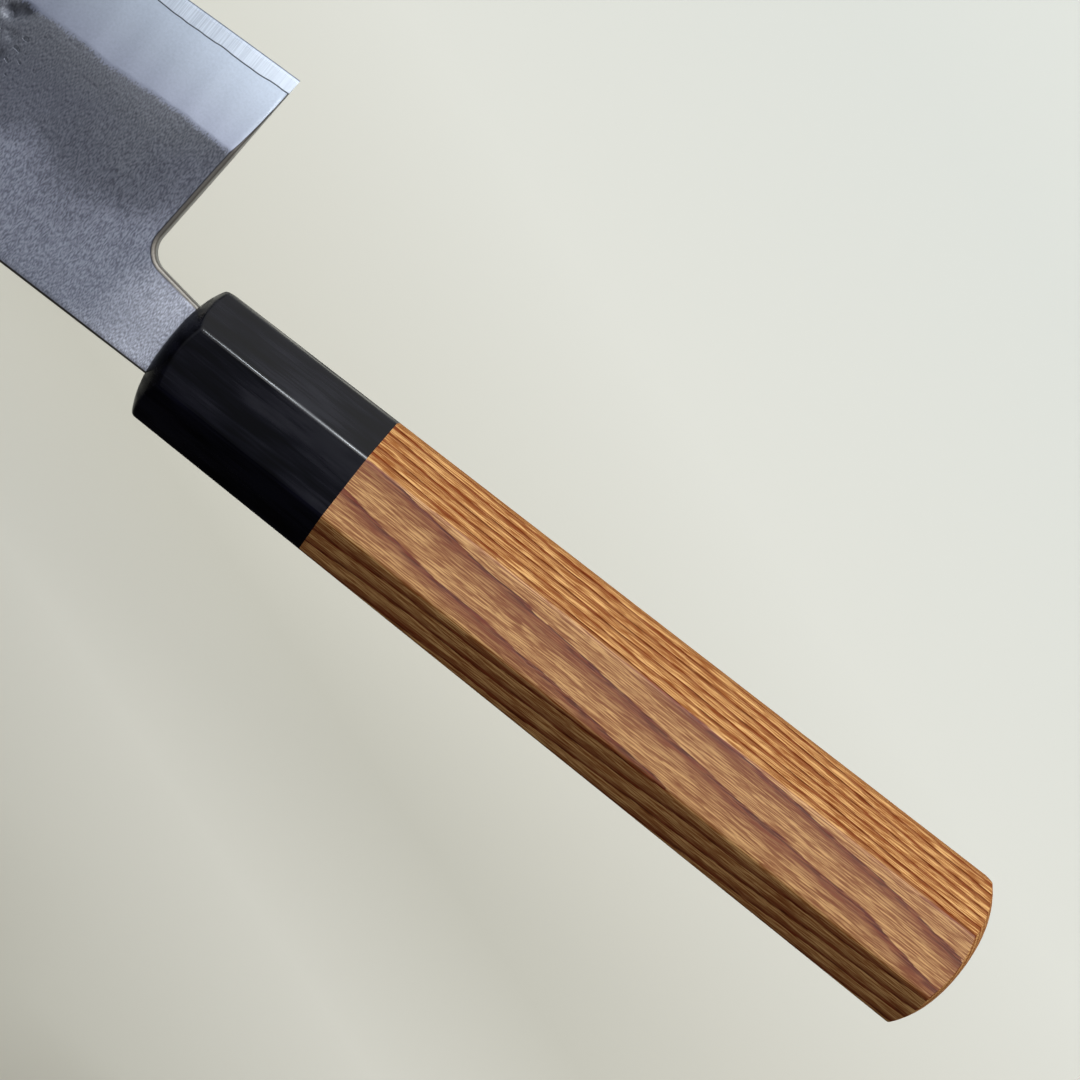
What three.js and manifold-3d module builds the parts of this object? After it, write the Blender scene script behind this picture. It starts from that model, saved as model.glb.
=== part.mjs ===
// A bunka kitchen knife with an octagonal wooden handle.
// The blade is forged from three layers of steel, and its tang is bedded in the slot of a dowel
// that joins a black ferrule to the wood of the handle.
//
// Millimetres. The pieces are drawn with X towards the tip, from the front of the ferrule,
// Y towards the spine, from the handle's axis, and Z out of the blade's left side, from its middle plane.
// The finished knife lies on its right side, with its origin under the middle of its box.
import * as THREE from "three";
import { mergeVertices } from "three/addons/utils/BufferGeometryUtils.js";
import Module from "manifold-3d";

const wasm = await Module();
wasm.setup();

// Handle, an eight-sided bar that grows from the ferrule to the butt
const handleLength = 139; // from the front of the ferrule to the crown of the butt
const ferruleLength = 30.8; // from the front to the joint with the wood
const frontHeight = 21.5; // across the edge and spine facets, at the front
const buttHeight = 24.3;
const frontThickness = 18.7; // across the two side facets
const buttThickness = 21.1;
const frontSideFacet = 10; // width of a side facet
const buttSideFacet = 10.65;
const frontCrownX = 1.4; // top of the domed front
const frontCrownRise = 2.1; // how far that dome stands past its rim, halfway up the front
const buttCrownRise = 3.3;
const frontCrownAcross = 1.27; // how much rounder the dome is across the thickness than over the height
const buttCrownAcross = 0.93;
const buttCrownShift = 0.45; // middle of the butt's dome, towards the spine
const crownPower = 3; // 2 is a plain dome, and more is flatter in the middle

// Blade outline
const bladeLength = 165; // heel to tip
const heelSetback = 9.15; // front of the ferrule to the heel
const heelDepth = 39.9; // handle's axis to the heel
const spineOffset = 5.25; // handle's axis to the spine, at the front of the ferrule
const spineSlope = 0.0132; // how fast the spine climbs towards the tip
const edgeSlopeHeel = 0.033; // how fast the cutting edge climbs at the heel
const edgeSlopeTip = 0.14;
const clipLength = 42; // straight cut from the spine down to the tip, measured along the knife
const heelLean = 0.064; // lean of the heel's end face, towards the tip as it goes up
const choilRadius = 3.3;
const neckOffset = 6.55; // handle's axis to the underside of the neck, at the front of the ferrule
const neckSlope = 0.133; // how fast that underside drops towards the heel

// Blade thickness
const spineThicknessHeel = 3.6;
const spineThicknessClip = 2.2; // where the spine meets the clip
const bevelThicknessHeel = 3; // at the top of the bevel, over the heel
const bevelHeight = 13.2; // cutting edge to the top of the bevel
const coreThickness = 0.7; // hard layer between the two soft ones
const edgeThickness = 0.24; // at the top of the sharpened edge
const sharpenedHeight = 0.5;

// Tang
const tangLength = 95; // shoulder to end
const tangHeight = 9;
const tangEndHeight = 5;
const tangEndThickness = 2.2;

// Inside the handle
const ferruleWall = 6; // front to the floor of the ferrule's bore
const shoulderRecess = 2; // from the floor of that bore forward to the shoulder of the tang
const dowelDiameter = 12.6;
const dowelSolidEnd = 6; // uncut length behind the slot
const beddingThickness = 0.6; // least thickness of the bedding on each side of the tang
const beddingEnd = 2; // bedding behind the end of the tang
const glueLine = 0.1; // clearance at each glued face
const mouthClearance = 0.25; // round the neck where it enters the ferrule

// Mesh fineness
const bladeStations = 16;
const crownRings = 8;
const roundSides = 40;
const cutMargin = 2; // how far a cutting shape reaches past what it cuts

// Places worked out from the sizes above
const heelX = heelSetback;
const tipX = heelX + bladeLength;
const clipX = tipX - clipLength;
const shoulderX = shoulderRecess - ferruleWall;
const tangEndX = shoulderX - tangLength;
const jointX = -ferruleLength;
const dowelFrontX = -ferruleWall - glueLine;
const slotEndX = tangEndX - glueLine - beddingEnd - glueLine;
const dowelEndX = slotEndX - dowelSolidEnd;
const bodyBoreEndX = dowelEndX - glueLine;
const boreDiameter = dowelDiameter + 2 * glueLine;

const spineY = (x) => spineOffset + spineSlope * x;
const neckY = (x) => -neckOffset - neckSlope * x;
const heelFaceX = (y) => heelX + heelLean * (y + heelDepth);

// The cutting edge climbs at a rate that grows evenly from heel to tip.
function edgeY(x) {
  const run = x - heelX;
  const bend = (edgeSlopeTip - edgeSlopeHeel) / bladeLength;
  return -heelDepth + edgeSlopeHeel * run + (bend * run * run) / 2;
}
const bevelY = (x) => edgeY(x) + bevelHeight;

// Half the blade's thickness above the bevel: a plane that thins towards the tip and towards the edge.
const thinningDown = (spineThicknessHeel - bevelThicknessHeel) / 2 / (spineY(heelX) - bevelY(heelX));
const thinningAlong =
  ((spineThicknessHeel - spineThicknessClip) / 2 + thinningDown * (spineY(clipX) - spineY(heelX))) /
  (clipX - heelX);
function bladeHalf(x, y) {
  const along = thinningAlong * (x - heelX);
  const down = thinningDown * (spineY(heelX) - y);
  return spineThicknessHeel / 2 - along - down;
}
const tangMiddleY = (spineY(shoulderX) + neckY(shoulderX)) / 2;
const tangHalf = bladeHalf(shoulderX, tangMiddleY + tangHeight / 2);
const slotHalf = tangHalf + glueLine + beddingThickness + glueLine;

// Solids: a closed three.js geometry becomes a solid that can be cut, and a cut solid becomes a mesh.
function solidOf(geometry) {
  const bare = geometry.clone();
  bare.deleteAttribute("normal");
  bare.deleteAttribute("uv");
  const merged = mergeVertices(bare, 1e-4);
  return new wasm.Manifold(
    new wasm.Mesh({
      numProp: 3,
      vertProperties: new Float32Array(merged.attributes.position.array),
      triVerts: new Uint32Array(merged.index.array),
    }),
  );
}

function meshOf(solid, name, color, roughness, metalness) {
  const cut = solid.getMesh();
  const geometry = new THREE.BufferGeometry();
  geometry.setAttribute("position", new THREE.BufferAttribute(cut.vertProperties, 3));
  geometry.setIndex(new THREE.BufferAttribute(cut.triVerts, 1));
  geometry.computeVertexNormals();
  const mesh = new THREE.Mesh(geometry, new THREE.MeshStandardMaterial({ color, roughness, metalness }));
  mesh.name = name;
  return mesh;
}

function rodSolid(diameter, fromX, toX) {
  const geometry = new THREE.CylinderGeometry(diameter / 2, diameter / 2, toX - fromX, roundSides);
  geometry.rotateZ(-Math.PI / 2);
  geometry.translate((fromX + toX) / 2, 0, 0);
  return solidOf(geometry);
}

// A skin over sections that all have the same number of points. Each section is a convex ring of
// points that turns from Y towards Z, and the sections follow each other along X.
function loftSolid(sections) {
  const points = sections.flat();
  const sides = sections[0].length;
  const triangles = [];
  for (let s = 0; s + 1 < sections.length; s++) {
    for (let i = 0; i < sides; i++) {
      const a = s * sides + i;
      const b = s * sides + ((i + 1) % sides);
      triangles.push(a, b, a + sides);
      triangles.push(b, b + sides, a + sides);
    }
  }
  const last = (sections.length - 1) * sides;
  for (let i = 1; i + 1 < sides; i++) {
    triangles.push(0, i + 1, i);
    triangles.push(last, last + i, last + i + 1);
  }
  const geometry = new THREE.BufferGeometry().setFromPoints(points);
  geometry.setIndex(triangles);
  return solidOf(geometry);
}

// A box with exact corners, so that two pieces cut along one plane touch there.
function boxSolid(low, high) {
  const ring = (x) =>
    [
      [high.y, high.z],
      [low.y, high.z],
      [low.y, low.z],
      [high.y, low.z],
    ].map(([y, z]) => new THREE.Vector3(x, y, z));
  return loftSolid([ring(low.x), ring(high.x)]);
}

// Replaces a sharp corner of an outline by an arc that touches both of its sides.
function roundCorner(outline, before, corner, after, radius) {
  const toBefore = before.clone().sub(corner).normalize();
  const toAfter = after.clone().sub(corner).normalize();
  const halfAngle = toBefore.angleTo(toAfter) / 2;
  const reach = radius / Math.tan(halfAngle);
  const inwards = toBefore.clone().add(toAfter).normalize();
  const centre = corner.clone().addScaledVector(inwards, radius / Math.sin(halfAngle));
  const start = corner.clone().addScaledVector(toBefore, reach).sub(centre);
  const end = corner.clone().addScaledVector(toAfter, reach).sub(centre);
  const clockwise = start.cross(end) < 0;
  outline.absarc(centre.x, centre.y, radius, start.angle(), end.angle(), clockwise);
}

// The blade and tang seen from the side. Below the cutting edge the outline reaches past it,
// because the ground faces make the edge itself.
function bladeOutline() {
  const belowEdge = -heelDepth - cutMargin;
  const tip = new THREE.Vector2(tipX, edgeY(tipX));
  const clipTop = new THREE.Vector2(clipX, spineY(clipX));
  const pastTip = (tip.y - belowEdge) / (clipTop.y - tip.y);
  const clipEnd = tip.clone().addScaledVector(tip.clone().sub(clipTop), pastTip);
  const heelEnd = new THREE.Vector2(heelFaceX(belowEdge), belowEdge);
  const cornerX = (heelX + heelLean * (heelDepth - neckOffset)) / (1 + heelLean * neckSlope);
  const choilCorner = new THREE.Vector2(cornerX, neckY(cornerX));
  const neckEnd = new THREE.Vector2(shoulderX, neckY(shoulderX));

  const outline = new THREE.Shape();
  outline.moveTo(tangEndX, tangMiddleY - tangEndHeight / 2);
  outline.lineTo(shoulderX, tangMiddleY - tangHeight / 2);
  outline.lineTo(neckEnd.x, neckEnd.y);
  roundCorner(outline, neckEnd, choilCorner, heelEnd, choilRadius);
  outline.lineTo(heelEnd.x, heelEnd.y);
  outline.lineTo(clipEnd.x, clipEnd.y);
  outline.lineTo(clipTop.x, clipTop.y);
  outline.lineTo(shoulderX, spineY(shoulderX));
  outline.lineTo(shoulderX, tangMiddleY + tangHeight / 2);
  outline.lineTo(tangEndX, tangMiddleY + tangEndHeight / 2);
  outline.closePath();
  return outline;
}

// The ground faces: flat sides, a wide bevel and a fine sharpened edge, in one section across the blade.
function bladeSection(x) {
  const inTang = Math.min((x - shoulderX) / (tangEndX - shoulderX), 1);
  const half = (y) =>
    x < shoulderX
      ? THREE.MathUtils.lerp(bladeHalf(shoulderX, y), tangEndThickness / 2, inTang)
      : bladeHalf(x, y);
  const top = spineY(x) + cutMargin;
  const corners = [
    [top, half(top)],
    [bevelY(x), half(bevelY(x))],
    [edgeY(x) + sharpenedHeight, edgeThickness / 2],
  ];
  const left = corners.map(([y, z]) => new THREE.Vector3(x, y, z));
  const right = corners.map(([y, z]) => new THREE.Vector3(x, y, -z)).reverse();
  return [...left, new THREE.Vector3(x, edgeY(x), 0), ...right];
}

function bladeBlank() {
  const stock = 4 * spineThicknessHeel;
  const profile = new THREE.ExtrudeGeometry(bladeOutline(), { depth: stock, bevelEnabled: false });
  profile.translate(0, 0, -stock / 2);
  const firstX = heelX - cutMargin;
  const step = (bladeLength + 2 * cutMargin) / bladeStations;
  const places = Array.from({ length: bladeStations + 1 }, (_, i) => firstX + i * step);
  const sections = [tangEndX - cutMargin, shoulderX, ...places].map(bladeSection);
  return solidOf(profile).intersect(loftSolid(sections));
}

// The eight-sided section of the handle, whose slanted facets lie at 45 degrees.
function handleSection(x) {
  const along = -x / handleLength;
  const height = THREE.MathUtils.lerp(frontHeight, buttHeight, along);
  const thickness = THREE.MathUtils.lerp(frontThickness, buttThickness, along);
  const sideFacet = THREE.MathUtils.lerp(frontSideFacet, buttSideFacet, along);
  const slant = (height - sideFacet) / 2;
  const endFacet = thickness - 2 * slant;
  const corner = (y, z) => new THREE.Vector3(x, y, z);
  return [
    corner(height / 2, endFacet / 2),
    corner(sideFacet / 2, thickness / 2),
    corner(-sideFacet / 2, thickness / 2),
    corner(-height / 2, endFacet / 2),
    corner(-height / 2, -endFacet / 2),
    corner(-sideFacet / 2, -thickness / 2),
    corner(sideFacet / 2, -thickness / 2),
    corner(height / 2, -endFacet / 2),
  ];
}

// A bar wider than the handle with a domed end at crownX, which rounds the front or the butt.
function domedBar(crownX, farX, rise, height, across, shift) {
  const reach = across * (Math.max(buttHeight, buttThickness) / 2 + Math.abs(shift) + cutMargin);
  const inwards = Math.sign(farX - crownX);
  const radii = Array.from({ length: crownRings + 1 }, (_, i) => (reach * i) / crownRings);
  const dome = radii.map((r) => [r, crownX + inwards * rise * (r / (height / 2)) ** crownPower]);
  const profile = [...dome, [reach, farX], [0, farX]].map(([r, x]) => new THREE.Vector2(r, x));
  if (inwards < 0) profile.reverse();
  const geometry = new THREE.LatheGeometry(profile, roundSides);
  geometry.rotateZ(-Math.PI / 2);
  geometry.scale(1, 1, 1 / across);
  geometry.translate(0, shift, 0);
  return solidOf(geometry);
}

function handleBlank() {
  const ends = [-handleLength - cutMargin, frontCrownX + cutMargin];
  const front = domedBar(frontCrownX, ends[0], frontCrownRise, frontHeight, frontCrownAcross, 0);
  const butt = domedBar(-handleLength, ends[1], buttCrownRise, buttHeight, buttCrownAcross, buttCrownShift);
  return loftSolid(ends.map(handleSection)).intersect(front).intersect(butt);
}

// The wide space on one side of a plane across the knife.
const farAway = 2 * (handleLength + bladeLength);
function layer(axis, from, to) {
  const low = new THREE.Vector3(-farAway, -farAway, -farAway);
  const high = new THREE.Vector3(farAway, farAway, farAway);
  low[axis] = from;
  high[axis] = to;
  return boxSolid(low, high);
}

function mouth() {
  const crownX = frontCrownX + cutMargin;
  const half = bladeHalf(shoulderX, spineY(shoulderX)) + mouthClearance;
  const low = new THREE.Vector3(-ferruleWall - cutMargin, neckY(crownX) - mouthClearance, -half);
  const high = new THREE.Vector3(crownX, spineY(crownX) + mouthClearance, half);
  return boxSolid(low, high);
}

function slot(halfWidth, endX, frontX) {
  const reach = dowelDiameter / 2 + cutMargin;
  const low = new THREE.Vector3(endX, -reach, -halfWidth);
  return boxSolid(low, new THREE.Vector3(frontX, reach, halfWidth));
}

// The room that the tang takes in its bedding, with the glue line round it.
function tangRoom() {
  const section = (x, height, half) =>
    [
      [height / 2, half],
      [-height / 2, half],
      [-height / 2, -half],
      [height / 2, -half],
    ].map(([y, z]) => new THREE.Vector3(x, tangMiddleY + y, z));
  return loftSolid([
    section(tangEndX - glueLine, tangEndHeight + 2 * glueLine, tangEndThickness / 2 + glueLine),
    section(shoulderX, tangHeight + 2 * glueLine, tangHalf + glueLine),
  ]);
}

function bedding() {
  const filling = slot(slotHalf - glueLine, slotEndX + glueLine, dowelFrontX);
  return filling.intersect(rodSolid(dowelDiameter, slotEndX, dowelFrontX)).subtract(tangRoom());
}

// The knife, piece by piece
const blank = bladeBlank();
const core = blank.intersect(layer("z", -coreThickness / 2, coreThickness / 2));
const leftCladding = blank.intersect(layer("z", coreThickness / 2, farAway));
const rightCladding = blank.intersect(layer("z", -farAway, -coreThickness / 2));

const bar = handleBlank();
const ferruleBore = rodSolid(boreDiameter, jointX - cutMargin, -ferruleWall);
const ferrule = bar.intersect(layer("x", jointX, farAway)).subtract(ferruleBore).subtract(mouth());
const bodyBore = rodSolid(boreDiameter, bodyBoreEndX, jointX + cutMargin);
const body = bar.intersect(layer("x", -farAway, jointX)).subtract(bodyBore);
const dowelRod = rodSolid(dowelDiameter, dowelEndX, dowelFrontX);
const dowel = dowelRod.subtract(slot(slotHalf, slotEndX, dowelFrontX + cutMargin));

const knife = new THREE.Group();
knife.name = "bunka_knife";
knife.add(
  meshOf(core, "core_steel", "#b4bac6", 0.3, 1),
  meshOf(leftCladding, "left_cladding", "#6a6d75", 0.5, 1),
  meshOf(rightCladding, "right_cladding", "#6a6d75", 0.5, 1),
  meshOf(ferrule, "ferrule", "#1b1a1d", 0.35, 0),
  meshOf(body, "handle_body", "#a3703f", 0.45, 0),
  meshOf(dowel, "dowel", "#d4bd92", 0.7, 0),
  meshOf(bedding(), "tang_bedding", "#e2d8bd", 0.4, 0),
);

// The origin goes under the middle of the knife's box.
const box = new THREE.Box3().setFromObject(knife, true);
const centre = box.getCenter(new THREE.Vector3());
knife.position.set(-centre.x, -centre.y, -box.min.z);

export default knife;
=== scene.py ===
import math
import random

import bmesh
import bpy
from mathutils import Matrix, Vector, noise


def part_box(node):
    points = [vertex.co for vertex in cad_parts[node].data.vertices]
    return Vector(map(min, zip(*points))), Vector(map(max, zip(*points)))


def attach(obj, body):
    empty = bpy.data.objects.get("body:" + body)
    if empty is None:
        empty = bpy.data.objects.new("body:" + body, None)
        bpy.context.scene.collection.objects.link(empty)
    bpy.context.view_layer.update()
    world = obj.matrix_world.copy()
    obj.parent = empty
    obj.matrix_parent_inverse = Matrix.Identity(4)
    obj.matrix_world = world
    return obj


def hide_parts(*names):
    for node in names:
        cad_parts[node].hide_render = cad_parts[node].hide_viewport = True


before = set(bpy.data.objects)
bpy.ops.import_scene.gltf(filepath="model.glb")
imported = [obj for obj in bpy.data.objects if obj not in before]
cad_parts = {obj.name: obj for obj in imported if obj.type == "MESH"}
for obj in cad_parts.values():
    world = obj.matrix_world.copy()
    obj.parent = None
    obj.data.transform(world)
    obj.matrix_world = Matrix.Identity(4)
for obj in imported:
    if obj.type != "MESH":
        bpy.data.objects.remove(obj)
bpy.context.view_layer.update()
scene = bpy.context.scene

MM = 0.001

# Handle sizes. A pair is the size at the front and at the butt.
HANDLE_LENGTH = 139 * MM
FERRULE_LENGTH = 30.8 * MM
HEIGHT = (21.5 * MM, 24.3 * MM)
THICKNESS = (18.7 * MM, 21.1 * MM)
SIDE_FACET = (10 * MM, 10.65 * MM)
CROWN_X = (1.4 * MM, -HANDLE_LENGTH)
CROWN_RISE = (2.1 * MM, 3.3 * MM)
CROWN_ACROSS = (1.27, 0.93)
CROWN_SHIFT = (0, 0.45 * MM)
CROWN_POWER = 3
RIM_EASE = (0.4 * MM, 0.12 * MM)
RIDGE_EASE = 0.4 * MM
MOUTH_DEPTH = 6 * MM
MOUTH_CLEARANCE = 0.25 * MM
BORE_RADIUS = 6.4 * MM
BORE_END = -107.3 * MM

# Blade sizes
BLADE_LENGTH = 165 * MM
HEEL_X = 9.15 * MM
HEEL_DEPTH = 39.9 * MM
HEEL_LEAN = 0.064
CLIP_LENGTH = 42 * MM
CHOIL_RADIUS = 3.3 * MM
SPINE_OFFSET = 5.25 * MM
SPINE_SLOPE = 0.0132
NECK_OFFSET = 6.55 * MM
NECK_SLOPE = 0.133
EDGE_SLOPE_HEEL = 0.033
EDGE_SLOPE_TIP = 0.14
BEVEL_HEIGHT = 13.2 * MM
CORE_LINE_HEIGHT = 2.65 * MM
SHARPENED_HEIGHT = 0.5 * MM
SPINE_THICKNESS_HEEL = 3.6 * MM
SPINE_THICKNESS_CLIP = 2.2 * MM
BEVEL_THICKNESS_HEEL = 3 * MM
EDGE_THICKNESS = 0.24 * MM
SOFT_RADIUS = 0.36 * MM
SHOULDER_X = -4 * MM
TANG_STEP = 0.5 * MM
TANG_END_X = -99 * MM
TANG_HEIGHT = 9 * MM
TANG_END_HEIGHT = 5 * MM
TANG_END_THICKNESS = 2.2 * MM

# How the bevel line and the core line wander along the blade: height, length and seed of each wave
BEVEL_WAVES = ((0.45 * MM, 14 * MM, 3.1), (0.12 * MM, 3 * MM, 8.7))
CORE_WAVES = ((0.17 * MM, 11 * MM, 5.3), (0.1 * MM, 3.6 * MM, 1.9), (0.04 * MM, 1.2 * MM, 7.7))

# Shallow waves that forging leaves in the flat: height, length along and across the blade, and seed
FORGED_WAVES = ((0.035 * MM, 11 * MM, 9 * MM, 2.2), (0.012 * MM, 4.5 * MM, 4 * MM, 6.1))

# Forging dents. They crowd in the middle of the flat, not far from the heel, and get rare towards the tip.
DENT_COUNT = 60
DENT_SEED = 11
DENTS_FROM_X = 44 * MM
DENTS_SPREAD_X = 90 * MM
DENTS_CROWDING = 2.2
DENTS_MIDDLE_Y = -13 * MM
DENTS_SPREAD_Y = 6 * MM
DENT_RADIUS = (0.8 * MM, 2.3 * MM)
DENT_DEPTH = (0.12 * MM, 0.4 * MM)
DENT_RIM_WAVE = (0.7, 1.5 * MM, 1.3 * MM, 4.4)

# Where the finish of the side changes, as heights above the bevel line, and the share of the cladding's
# thickness that a dent or a soft edge may take
FLAT_BEGINS = (-0.3 * MM, 1.5 * MM)
GRIP_SOFTENS = (-8 * MM, 4 * MM)
DEEPEST_SHARE = 0.6

# How finely the meshes are divided
EASE_STEPS = 4
FACET_CUTS = 11
DOME_RINGS = (0.9, 0.82, 0.74, 0.66, 0.56, 0.46, 0.36, 0.26, 0.16, 0.07)
SOFT_STEPS = (0.08 * MM, 0.2 * MM, SOFT_RADIUS)
CHOIL_STEPS = 10
COLUMN = 0.5 * MM
BEVEL_ROWS = 18
FLAT_ROWS = 50
CORE_EDGE_ROWS = 5
CORE_FLAT_ROWS = 8

# Places that follow from the sizes
TIP_X = HEEL_X + BLADE_LENGTH
CLIP_X = TIP_X - CLIP_LENGTH

# The knife's own axes: X from the front of the ferrule to the tip, Y from the handle's axis to the
# spine, Z from the middle of the core to the left side. ORIGIN is where they start in the frame.
_, body_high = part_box("handle_body")
dowel_low, dowel_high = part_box("dowel")
core_low, core_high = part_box("core_steel")
ORIGIN = Vector((
    body_high.x + FERRULE_LENGTH,
    (dowel_low.y + dowel_high.y) / 2,
    (core_low.z + core_high.z) / 2,
))


# Steps that several pieces share

def blend(pair, t):
    return pair[0] + (pair[1] - pair[0]) * t


def smooth_step(value, low, high):
    t = min(max((value - low) / (high - low), 0), 1)
    return t * t * (3 - 2 * t)


def extrude_loop(bm, loop, move):
    """Extrudes a loop of edges and sends each new vertex where move() says."""
    grown = bmesh.ops.extrude_edge_only(bm, edges=loop)["geom"]
    for vert in (g for g in grown if isinstance(g, bmesh.types.BMVert)):
        vert.co = move(vert.co)
    return [g for g in grown if isinstance(g, bmesh.types.BMEdge) and g.is_boundary]


def cut_faces(bm, faces, place, normal, snap, clear=False):
    """Cuts faces along a plane, and clears what lies beyond it if asked."""
    edges = dict.fromkeys(e for f in faces for e in f.edges)
    verts = dict.fromkeys(v for f in faces for v in f.verts)
    bmesh.ops.bisect_plane(
        bm, geom=[*verts, *edges, *faces], dist=snap, clear_outer=clear, plane_co=place, plane_no=normal
    )


def finish_piece(bm, name, material, node, sharp_angle):
    """Puts a mesh made in the knife's axes into the frame as a piece that stands for a CAD node."""
    bmesh.ops.remove_doubles(bm, verts=bm.verts, dist=0.0001 * MM)
    bmesh.ops.recalc_face_normals(bm, faces=bm.faces)
    bmesh.ops.translate(bm, verts=bm.verts, vec=ORIGIN)
    mesh = bpy.data.meshes.new(name)
    bm.to_mesh(mesh)
    bm.free()
    mesh.shade_smooth()
    mesh.set_sharp_from_angle(angle=math.radians(sharp_angle))
    mesh.materials.append(material)
    piece = bpy.data.objects.new(name, mesh)
    scene.collection.objects.link(piece)
    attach(piece, "root")
    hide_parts(node)


# Blade lines and thickness, in the knife's axes

def wander(x, waves):
    """Smooth wandering along the blade."""
    total = 0
    for height, length, seed in waves:
        total += 2 * height * noise.noise(Vector((x / length, seed, 0.37)))
    return total


def spine_y(x):
    return SPINE_OFFSET + SPINE_SLOPE * x


def neck_y(x):
    return -NECK_OFFSET - NECK_SLOPE * x


def edge_y(x):
    run = x - HEEL_X
    bend = (EDGE_SLOPE_TIP - EDGE_SLOPE_HEEL) / BLADE_LENGTH
    return -HEEL_DEPTH + EDGE_SLOPE_HEEL * run + bend * run * run / 2


def bevel_y(x):
    return edge_y(x) + BEVEL_HEIGHT + wander(x, BEVEL_WAVES)


def core_line_y(x):
    return edge_y(x) + CORE_LINE_HEIGHT + wander(x, CORE_WAVES)


THINNING_DOWN = (SPINE_THICKNESS_HEEL - BEVEL_THICKNESS_HEEL) / 2 / (
    spine_y(HEEL_X) - edge_y(HEEL_X) - BEVEL_HEIGHT
)
THINNING_ALONG = (
    (SPINE_THICKNESS_HEEL - SPINE_THICKNESS_CLIP) / 2
    + THINNING_DOWN * (spine_y(CLIP_X) - spine_y(HEEL_X))
) / (CLIP_X - HEEL_X)


def blade_half(x, y):
    """Half the thickness of the blade above the bevel."""
    along = THINNING_ALONG * (x - HEEL_X)
    down = THINNING_DOWN * (spine_y(HEEL_X) - y)
    return SPINE_THICKNESS_HEEL / 2 - along - down


def ground_half(x, y):
    """Half the thickness of the ground blade anywhere above its cutting edge."""
    above = y - edge_y(x)
    if above < SHARPENED_HEIGHT:
        return EDGE_THICKNESS / 2 * max(above, 0) / SHARPENED_HEIGHT
    top = bevel_y(x)
    if y >= top:
        return blade_half(x, y)
    share = (above - SHARPENED_HEIGHT) / (top - edge_y(x) - SHARPENED_HEIGHT)
    return blend((EDGE_THICKNESS / 2, blade_half(x, top)), share)


def core_half(x):
    return ground_half(x, core_line_y(x))


def tang_half(x):
    """Half the thickness of the tang, which thins to its end."""
    share = (x - SHOULDER_X) / (TANG_END_X - SHOULDER_X)
    return blend((blade_half(SHOULDER_X, 0), TANG_END_THICKNESS / 2), share)


# The heel and the neck meet in the round choil. What is cut away there lies inside every one of
# these lines, each given by the direction from the centre of the round.
HEEL_NORMAL = Vector((1, -HEEL_LEAN)).normalized()
NECK_NORMAL = Vector((NECK_SLOPE, 1)).normalized()
CORNER_X = (HEEL_X + HEEL_LEAN * (HEEL_DEPTH - NECK_OFFSET)) / (1 + HEEL_LEAN * NECK_SLOPE)
CHOIL_CENTRE = Vector((CORNER_X, neck_y(CORNER_X))) - (
    (HEEL_NORMAL + NECK_NORMAL).normalized() * CHOIL_RADIUS / math.cos(HEEL_NORMAL.angle(NECK_NORMAL) / 2)
)
CHOIL_LINES = [HEEL_NORMAL.slerp(NECK_NORMAL, i / CHOIL_STEPS) for i in range(CHOIL_STEPS + 1)]


def behind_heel(x, y):
    """Distance from the cut-away corner behind the heel and under the neck."""
    away = Vector((x, y)) - CHOIL_CENTRE
    return max(away.dot(line) for line in CHOIL_LINES) - CHOIL_RADIUS


CLIP_TOP = Vector((CLIP_X, spine_y(CLIP_X)))
CLIP_RUN = Vector((TIP_X - CLIP_X, edge_y(TIP_X) - spine_y(CLIP_X))).normalized()
CLIP_NORMAL = Vector((-CLIP_RUN.y, CLIP_RUN.x))


def below_clip(x, y):
    return CLIP_NORMAL.dot(CLIP_TOP - Vector((x, y)))


# Handle

def handle_size(pair, x):
    return blend(pair, -x / HANDLE_LENGTH)


def section_corners(x):
    height = handle_size(HEIGHT, x) / 2
    thick = handle_size(THICKNESS, x) / 2
    side = handle_size(SIDE_FACET, x) / 2
    end = thick - (height - side)
    half = [(height, -end), (height, end), (side, thick), (-side, thick)]
    return half + [(-y, -z) for y, z in half]


def octagonal_tube(bm, front_x, back_x):
    """Open tube with eight flat facets and softened ridges between them."""
    ends = []
    for x in (front_x, back_x):
        ring = bmesh.ops.create_circle(bm, cap_ends=False, segments=8, radius=MM)["verts"]
        for vert, (y, z) in zip(ring, section_corners(x)):
            vert.co = (x, y, z)
        ends.extend(dict.fromkeys(edge for vert in ring for edge in vert.link_edges))
    bmesh.ops.bridge_loops(bm, edges=ends)
    middle = (front_x + back_x) / 2
    ridges = [e for e in bm.edges if (e.verts[0].co.x - middle) * (e.verts[1].co.x - middle) < 0]
    bmesh.ops.bevel(
        bm, geom=ridges, offset=RIDGE_EASE, segments=EASE_STEPS, profile=0.5, affect="EDGES", material=-1
    )
    shortest_facet = 1 * MM
    facet_ends = [e for e in bm.edges if e.is_boundary and e.calc_length() > shortest_facet]
    bmesh.ops.bisect_edges(bm, edges=facet_ends, cuts=FACET_CUTS)


def end_loop(bm, near_x):
    reach = 6 * MM
    return [e for e in bm.edges if e.is_boundary and abs(e.verts[0].co.x - near_x) < reach]


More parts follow.
